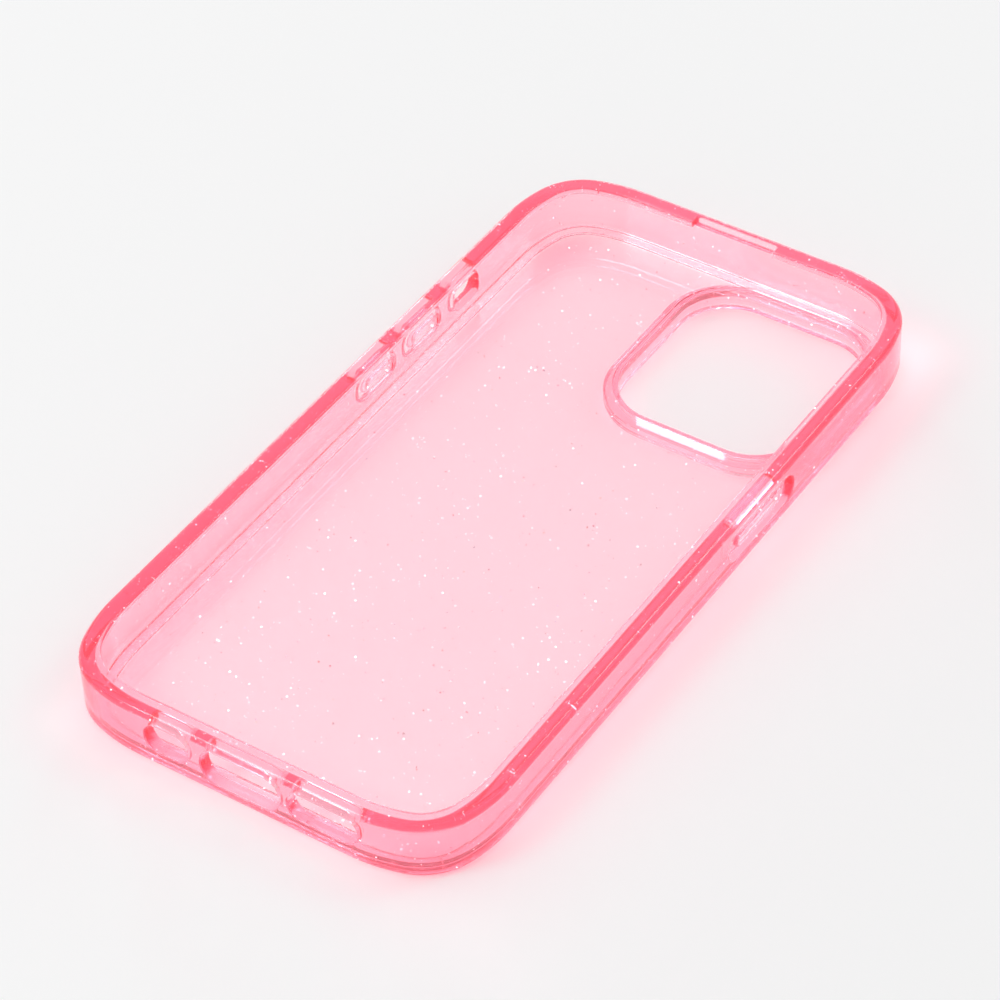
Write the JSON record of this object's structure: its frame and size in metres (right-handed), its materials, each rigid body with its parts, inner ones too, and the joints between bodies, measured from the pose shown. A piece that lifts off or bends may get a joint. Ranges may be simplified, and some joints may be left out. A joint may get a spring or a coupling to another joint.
{
  "type": "phone case",
  "caption": "Clear pink glitter bumper case for a phone, open at the screen, with raised lip, camera window and sprung button covers.",
  "frame": {"origin": "below the middle of the outline, on the plane of the camera guard's rim, the lowest plane of the case", "axes": "+X towards the edge with the single side button, +Y towards the top edge of the phone, +Z out through the screen opening"},
  "size_m": [0.0774, 0.1528, 0.0136],
  "materials": {
    "soft_bumper": "clear hot-pink soft plastic with fine glitter, glossy",
    "hard_back": "clear pale-pink hard plastic with fine glitter, polished",
    "guard_plastic": "clear pink soft plastic, glossy",
    "button_plastic": "clear pink soft plastic, satin gloss"
  },
  "bodies": {
    "case": {"bumper_frame": "soft_bumper", "back_plate": "hard_back", "camera_guard": "guard_plastic"},
    "side_button": {"side_button_cover": "button_plastic"},
    "volume_up": {"volume_up_cover": "button_plastic"},
    "volume_down": {"volume_down_cover": "button_plastic"}
  },
  "joints": [
    {"name": "side_button_press", "type": "slide", "parent": "case", "child": "side_button", "axis": [-1, 0, 0], "range_m": [0, 0.00035], "stiffness_N_per_m": 1000},
    {"name": "volume_up_press", "type": "slide", "parent": "case", "child": "volume_up", "axis": [1, 0, 0], "range_m": [0, 0.00035], "stiffness_N_per_m": 1000},
    {"name": "volume_down_press", "type": "slide", "parent": "case", "child": "volume_down", "axis": [1, 0, 0], "range_m": [0, 0.00035], "stiffness_N_per_m": 1000}
  ]
}
